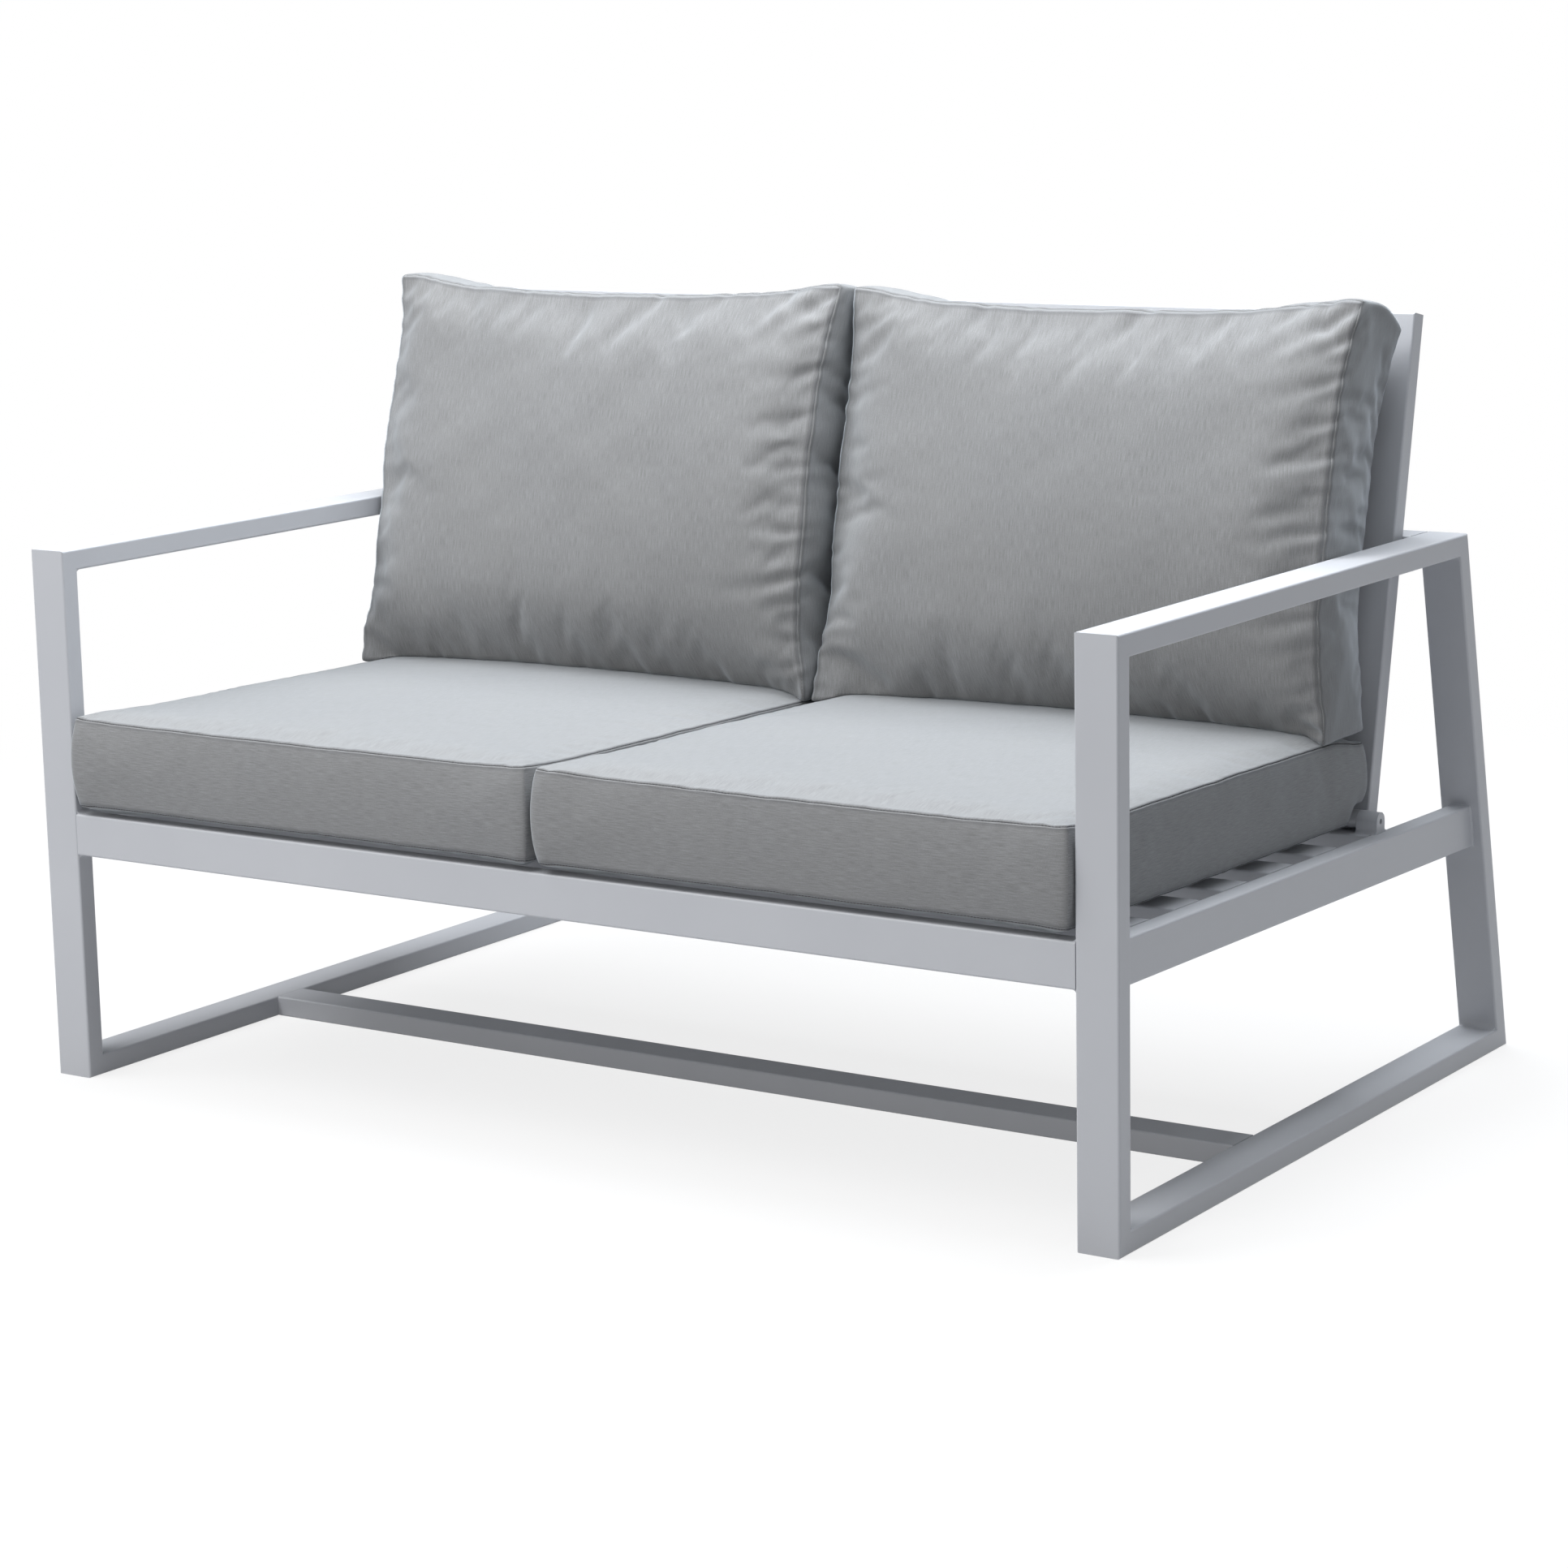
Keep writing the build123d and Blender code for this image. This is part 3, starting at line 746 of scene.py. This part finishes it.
def back_shape(unit, left_depth, left_flare, flare_power, right_depth, right_bow, right_tuck,
               crown):
    """Overstuffed cushion leaning on the back frame, with a depth of its own at each side."""
    px, py, pz = unit.T
    depth = (pz + 1) / 2
    rise = (py + 1) / 2
    bow = 1 - py**2
    left_seam = left_depth + left_flare * (1 - rise) ** flare_power
    right_seam = right_depth + right_bow * bow**BACK_BOW_POWER - right_tuck * (1 - rise) ** 3
    front = left_seam + (right_seam - left_seam) * (px + 1) / 2
    flat_across = 1 - np.abs(px) ** BACK_CROWN_X
    swell = crown * flat_across * (1 - np.abs(py) ** BACK_CROWN_Y) + BACK_SWELL * (1 - px**2)
    tuck = np.clip(1 - rise / BACK_TUCK_SHARE, 0, 1) ** BACK_TUCK_POWER
    front += swell
    front -= BACK_TUCK * tuck * flat_across
    edge = np.maximum(np.abs(px), np.abs(py))
    rear = REST_GAP + BACK_LIFT * smooth_step(edge, BACK_LIFT_START, 1.0)
    z = rear + (front - rear) * depth
    bottom = (STAND_HEIGHT - STAND_SINE * z) / STAND_COSINE
    top = BACK_LENGTH - BACK_DIP * (1 - px**2)
    top -= BACK_TOP_DROP * (1 - depth) ** 2
    top += BACK_TOP_BOW * (1 - pz**2)
    y = bottom + (top - bottom) * rise
    rear_draw = (REAR_DRAW + REAR_BOW * bow) * (1 - depth) ** REAR_DRAW_POWER
    front_draw = FRONT_DRAW * bow**0.5 * depth**3
    x = px * (HALF_WIDTH - rear_draw - front_draw)
    middle = (bottom + top) / 2
    half = (top - bottom) / 2
    x, y = round_corners(x, y - middle, HALF_WIDTH, half, BACK_CORNER)
    return np.column_stack([x, y + middle, z])


# Folds as shares of a front panel: from u, v on a seam to u, v, then depth and width in metres
BACK_FOLDS = {
    "right": [
        (1.00, 0.985, 0.76, 0.83, 0.0060, 0.011), (1.00, 0.91, 0.82, 0.83, 0.0040, 0.009),
        (1.00, 0.82, 0.82, 0.78, 0.0032, 0.008), (1.00, 0.725, 0.86, 0.72, 0.0030, 0.007),
        (1.00, 0.645, 0.87, 0.64, 0.0036, 0.007), (1.00, 0.565, 0.90, 0.575, 0.0016, 0.006),
        (1.00, 0.485, 0.87, 0.47, 0.0030, 0.007), (1.00, 0.40, 0.84, 0.385, 0.0020, 0.008),
        (1.00, 0.295, 0.83, 0.27, 0.0036, 0.008), (1.00, 0.235, 0.86, 0.205, 0.0030, 0.007),
        (1.00, 0.14, 0.88, 0.11, 0.0032, 0.007), (1.00, 0.02, 0.88, 0.10, 0.0044, 0.009),
        (0.15, 0.00, 0.14, 0.09, 0.0026, 0.007), (0.23, 0.00, 0.21, 0.11, 0.0040, 0.007),
        (0.38, 0.00, 0.365, 0.08, 0.0030, 0.007), (0.53, 0.00, 0.52, 0.06, 0.0018, 0.007),
        (0.70, 0.00, 0.69, 0.12, 0.0044, 0.008), (0.77, 0.00, 0.755, 0.10, 0.0046, 0.007),
        (0.85, 0.00, 0.82, 0.09, 0.0036, 0.008), (0.29, 1.00, 0.19, 0.84, 0.0034, 0.012),
        (0.60, 1.00, 0.46, 0.83, 0.0034, 0.012), (0.78, 1.00, 0.68, 0.88, 0.0022, 0.010),
        (0.90, 1.00, 0.80, 0.90, 0.0022, 0.009), (0.09, 1.00, 0.04, 0.93, 0.0024, 0.008),
        (0.00, 0.52, 0.07, 0.53, 0.0030, 0.007), (0.00, 0.36, 0.06, 0.38, 0.0024, 0.006),
        (0.00, 0.14, 0.08, 0.18, 0.0030, 0.007), (0.00, 0.78, 0.07, 0.76, 0.0018, 0.008),
    ],
    "left": [
        (1.00, 0.985, 0.75, 0.80, 0.0056, 0.012), (1.00, 0.90, 0.86, 0.84, 0.0030, 0.009),
        (1.00, 0.79, 0.82, 0.785, 0.0034, 0.009), (1.00, 0.69, 0.87, 0.69, 0.0022, 0.007),
        (1.00, 0.56, 0.84, 0.59, 0.0032, 0.008), (1.00, 0.47, 0.90, 0.49, 0.0018, 0.006),
        (1.00, 0.41, 0.86, 0.425, 0.0034, 0.007), (1.00, 0.305, 0.80, 0.27, 0.0062, 0.009),
        (1.00, 0.245, 0.88, 0.24, 0.0030, 0.007), (1.00, 0.15, 0.88, 0.18, 0.0032, 0.008),
        (1.00, 0.09, 0.84, 0.09, 0.0034, 0.008), (1.00, 0.015, 0.88, 0.05, 0.0030, 0.008),
        (0.165, 0.00, 0.155, 0.09, 0.0052, 0.007), (0.33, 0.00, 0.325, 0.12, 0.0030, 0.008),
        (0.50, 0.00, 0.48, 0.09, 0.0036, 0.008), (0.64, 0.00, 0.615, 0.13, 0.0046, 0.008),
        (0.74, 0.00, 0.73, 0.08, 0.0028, 0.007), (0.82, 0.00, 0.79, 0.11, 0.0040, 0.008),
        (0.92, 0.00, 0.90, 0.07, 0.0026, 0.007), (0.31, 1.00, 0.22, 0.87, 0.0026, 0.012),
        (0.62, 1.00, 0.46, 0.82, 0.0034, 0.012), (0.76, 1.00, 0.68, 0.91, 0.0024, 0.009),
        (0.91, 1.00, 0.80, 0.88, 0.0026, 0.010), (0.00, 0.40, 0.06, 0.42, 0.0020, 0.007),
        (0.00, 0.20, 0.07, 0.22, 0.0022, 0.007), (0.00, 0.62, 0.06, 0.61, 0.0016, 0.007),
    ],
}
SEAT_FOLDS = [
    (0.30, 0.00, 0.34, 0.035, 0.0012, 0.010), (0.62, 0.00, 0.60, 0.03, 0.0010, 0.010),
    (0.03, 0.00, 0.06, 0.05, 0.0018, 0.008), (0.97, 0.00, 0.94, 0.045, 0.0016, 0.008),
]

# Covers: cells and half sides along x, y and z, air pressure, share by which the seams shrink,
# cap on the swelling, depths of the swells and of the gathers, and where the cushion lies
SEAT_COVER = {
    "cells": (84, 86, 14), "half_sides": (0.339, 0.348, 0.052), "pressure": 3.0,
    "gather": 0.02, "cap": 0.010, "rough": 0.0003, "pucker": 0.0003,
    "plane": SEAT, "middle": SEAT_MIDDLE,
}
BACK_COVER = {
    "cells": (84, 62, 20), "half_sides": (0.339, 0.247, GUSSET / 2), "pressure": 6.0,
    "gather": 0.05, "cap": 0.028, "rough": 0.0008, "pucker": 0.0006,
    "plane": BACK, "middle": 0.0,
}


def make_cushion(node, sign, seed, target_of, folds, cells, half_sides, pressure, gather, cap,
                 rough, pucker, plane, middle):
    """Blows up one cover and brings it to its place, folds and all, before its seams."""
    half_x, half_y, half_z = half_sides
    mesh = cover_mesh(f"{node}_cover", cells, half_sides)
    unit = unit_places(mesh)
    obj = linked(f"{node}_cover", mesh)
    target = target_of(unit)
    place_vertices(mesh, target)
    uneven = rough * waves(target, *BROAD_SWELLS, seed)
    uneven += SMALL_SHARE * rough * waves(target, *SMALL_SWELLS, seed + 1)
    place_vertices(mesh, target + normals_of(mesh) * uneven[:, None])
    inflate(obj, pressure, gather, cap)
    settle(obj, unit, target)
    subdivide(obj)
    mesh = obj.data
    unit = unit_places(mesh)
    u, v = flattened(unit, half_x, half_y, 2 * half_z)
    height = fold_heights(u, v, folds, half_x, half_y) * smooth_step(unit[:, 2], *GUSSET_FADE)
    height += seam_gathers(unit, half_x, half_y, seed + 3, pucker)
    spots = coordinates(mesh) + normals_of(mesh) * height[:, None]
    spots[:, 0] = np.clip(spots[:, 0], -HALF_WIDTH - SIDE_SLACK, HALF_WIDTH + SIDE_SLACK)
    spots[:, 2] = np.maximum(spots[:, 2], REST_GAP)
    place_vertices(mesh, spots)
    mesh.transform(plane @ Matrix.Translation((sign * CUSHION_X, middle, 0)))
    return obj


def clear_hinge(mesh, sign):
    """Presses the seat cushion's rear outer corner up over the hinge."""
    mesh.transform(SEAT.inverted())
    spots = coordinates(mesh)
    near = smooth_step(spots[:, 0] * sign, *HINGE_X) * smooth_step(spots[:, 1], *HINGE_Y)
    lowest = HINGE_CLEAR * near
    squeezed = lowest + spots[:, 2] * (PRESS_TOP - lowest) / PRESS_TOP
    spots[:, 2] = np.where(spots[:, 2] < PRESS_TOP, squeezed, spots[:, 2])
    place_vertices(mesh, spots)
    mesh.transform(SEAT)


def stand_on(mesh, seat_mesh):
    """Presses a back cushion's bottom flat where it stands on the seat cushion."""
    foot_top, above = 0.50, 0.7
    surface = bmesh.new()
    surface.from_mesh(seat_mesh)
    tree = BVHTree.FromBMesh(surface)
    surface.free()
    spots = coordinates(mesh)
    for i, (x, y, z) in enumerate(spots):
        if z < foot_top:
            hit = tree.ray_cast(Vector((x, y, above)), Vector((0, 0, -1)))[0]
            if hit and z < hit.z + STAND_GAP:
                spots[i, 2] = hit.z + STAND_GAP
    place_vertices(mesh, spots)


def seams_and_stitches(node, mesh):
    """Sinks the two seams that run round the panels and lays a row of stitches in each."""
    bm = bmesh.new()
    bm.from_mesh(mesh)
    marks = bm.verts.layers.float["seam"]
    runs = [e for e in bm.edges if all(v[marks] > SEAM_MARK for v in e.verts)]
    grooved = bmesh.ops.bevel(
        bm, geom=runs, offset=SEAM_HALF_WIDE, offset_type="OFFSET", segments=2, profile=0.5,
        affect="EDGES", material=-1, clamp_overlap=True, loop_slide=True,
    )
    strip = set(grooved["faces"])
    middle = [
        v for v in grooved["verts"] if v.is_valid and all(f in strip for f in v.link_faces)
    ]
    bm.normal_update()
    sunk = [(v, v.normal.copy()) for v in middle]
    chain = set(middle)
    ends = []
    for edge in bm.edges:
        first, second = edge.verts
        if first in chain and second in chain:
            normal = (first.normal + second.normal).normalized()
            ends.append((first.co.copy(), second.co.copy(), normal))
    # The seam mark moves to each groove's middle, where the canvas uses it to paint shade into the
    # groove.
    for vert in grooved["verts"]:
        vert[marks] = 0.0
    for vert, normal in sunk:
        vert[marks] = 1.0
        vert.co -= normal * SEAM_DEEP
    bm.to_mesh(mesh)
    bm.free()
    shade_smooth(mesh)
    stitches = bmesh.new()
    for start, end, normal in ends:
        along = end - start
        length = along.length
        if length < STITCH_LEAST:
            continue
        along /= length
        rotation = Matrix((along, normal.cross(along), normal)).transposed().to_4x4()
        size = Matrix.Diagonal((length * STITCH_SHARE, STITCH_WIDE, STITCH_THICK, 1))
        spot = (start + end) / 2 - normal * STITCH_SUNK
        place = Matrix.Translation(spot) @ rotation @ size
        bmesh.ops.create_cube(stitches, size=1, matrix=place)
    new_piece(f"{node}_stitches", stitches, THREAD, node)


def finish_cushion(obj, node):
    """Sews the cover, gives it its canvas and lets it stand in for the cushion's solid."""
    seams_and_stitches(node, obj.data)
    obj.data.materials.clear()
    obj.data.materials.append(SLOT_FINISH["cushion_fabric"])
    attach(obj, node)
    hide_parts(node)


def cushion_pair(side, sign, seed):
    """One place of the seat: the seat cushion and the back cushion that stands on it."""
    seat_node, back_node = f"{side}_seat_cushion", f"{side}_back_cushion"
    seat = make_cushion(seat_node, sign, seed, seat_shape, SEAT_FOLDS, **SEAT_COVER)
    clear_hinge(seat.data, sign)
    back = make_cushion(
        back_node, sign, seed + BACK_SEED, lambda unit: back_shape(unit, **BACK_FORMS[side]),
        BACK_FOLDS[side], **BACK_COVER,
    )
    stand_on(back.data, seat.data)
    finish_cushion(seat, seat_node)
    finish_cushion(back, back_node)


def studio_floor():
    """Pale floor that keeps the seat's shadow and turns white further out."""
    shade, pale = (0.38, 0.38, 0.39, 1), (0.9, 0.9, 0.9, 1)
    bm = bmesh.new()
    bmesh.ops.create_grid(bm, x_segments=1, y_segments=1, size=FLOOR_HALF)
    floor = linked("floor", mesh_of("floor", bm))
    finish = Finish("studio_floor", Roughness=0.9)
    path = finish.tree.nodes.new("ShaderNodeLightPath").outputs
    seen = Value(finish, path["Is Camera Ray"]) + Value(finish, path["Is Glossy Ray"])
    seen = seen + Value(finish, path["Is Transmission Ray"])
    finish.feed("Base Color", finish.mix(seen, shade, pale))
    length = {"operation": "LENGTH"}
    away = finish.node("ShaderNodeVectorMath", length, {0: finish.place()}, output="Value")
    glow = finish.node("ShaderNodeEmission", {}, {"Color": WHITE, "Strength": 1.0})
    factor = seen * finish.spread(away, *FLOOR_TURN, bottom=FLOOR_NEAR, top=1.0)
    lit = Value(finish, finish.shader.outputs[0])
    mixed = finish.node("ShaderNodeMixShader", {}, {0: factor, 1: lit, 2: glow})
    finish.link(finish.tree.nodes["Material Output"].inputs["Surface"], mixed)
    floor.data.materials.append(finish.material)


def surroundings():
    """Dim, slightly cool light from all round, which the camera sees as plain white."""
    world = bpy.data.worlds.new("studio")
    bpy.context.scene.world = world
    world.use_nodes = True
    nodes, links = world.node_tree.nodes, world.node_tree.links
    dim = nodes["Background"]
    white = nodes.new("ShaderNodeBackground")
    for background, colour, strength in ((dim, SKY_COLOUR, SKY_STRENGTH), (white, WHITE, 1.0)):
        background.inputs["Color"].default_value = colour
        background.inputs["Strength"].default_value = strength
    path = nodes.new("ShaderNodeLightPath")
    join = nodes.new("ShaderNodeMixShader")
    links.new(path.outputs["Is Camera Ray"], join.inputs[0])
    links.new(dim.outputs[0], join.inputs[1])
    links.new(white.outputs[0], join.inputs[2])
    links.new(join.outputs[0], nodes["World Output"].inputs["Surface"])


def lamp(name, spot, size, power, colour):
    """A soft square lamp aimed at the seat."""
    data = bpy.data.lights.new(name, "AREA")
    data.shape = "SQUARE"
    data.size = size
    data.energy = power
    data.color = colour
    obj = linked(name, data)
    obj.location = spot
    aim = Vector(LAMP_AIM) - Vector(spot)
    obj.rotation_euler = aim.to_track_quat("-Z", "Y").to_euler()


def camera():
    """The photograph's camera, fitted to the frame's corners."""
    yaw, pitch, roll = (math.radians(a) for a in (CAMERA_YAW, CAMERA_PITCH, CAMERA_ROLL))
    level = math.cos(pitch)
    ahead = Vector((-math.sin(yaw) * level, math.cos(yaw) * level, math.sin(pitch)))
    right = Vector((math.cos(yaw), math.sin(yaw), 0))
    up = right.cross(ahead)
    rolled_right = right * math.cos(roll) + up * math.sin(roll)
    rolled_up = rolled_right.cross(ahead)
    data = bpy.data.cameras.new("camera")
    data.sensor_width = CAMERA_SENSOR
    data.lens = CAMERA_LENS
    data.clip_end = 100
    obj = linked("camera", data)
    rotation = Matrix((rolled_right, rolled_up, -ahead)).transposed()
    obj.matrix_world = Matrix.Translation(CAMERA_PLACE) @ rotation.to_4x4()
    bpy.context.scene.camera = obj


frame_details()
cushion_pair("right", sign=1, seed=11)
cushion_pair("left", sign=-1, seed=23)
studio_floor()
surroundings()
for facts in LAMPS:
    lamp(*facts)
camera()
bpy.context.scene.view_settings.view_transform = "Standard"
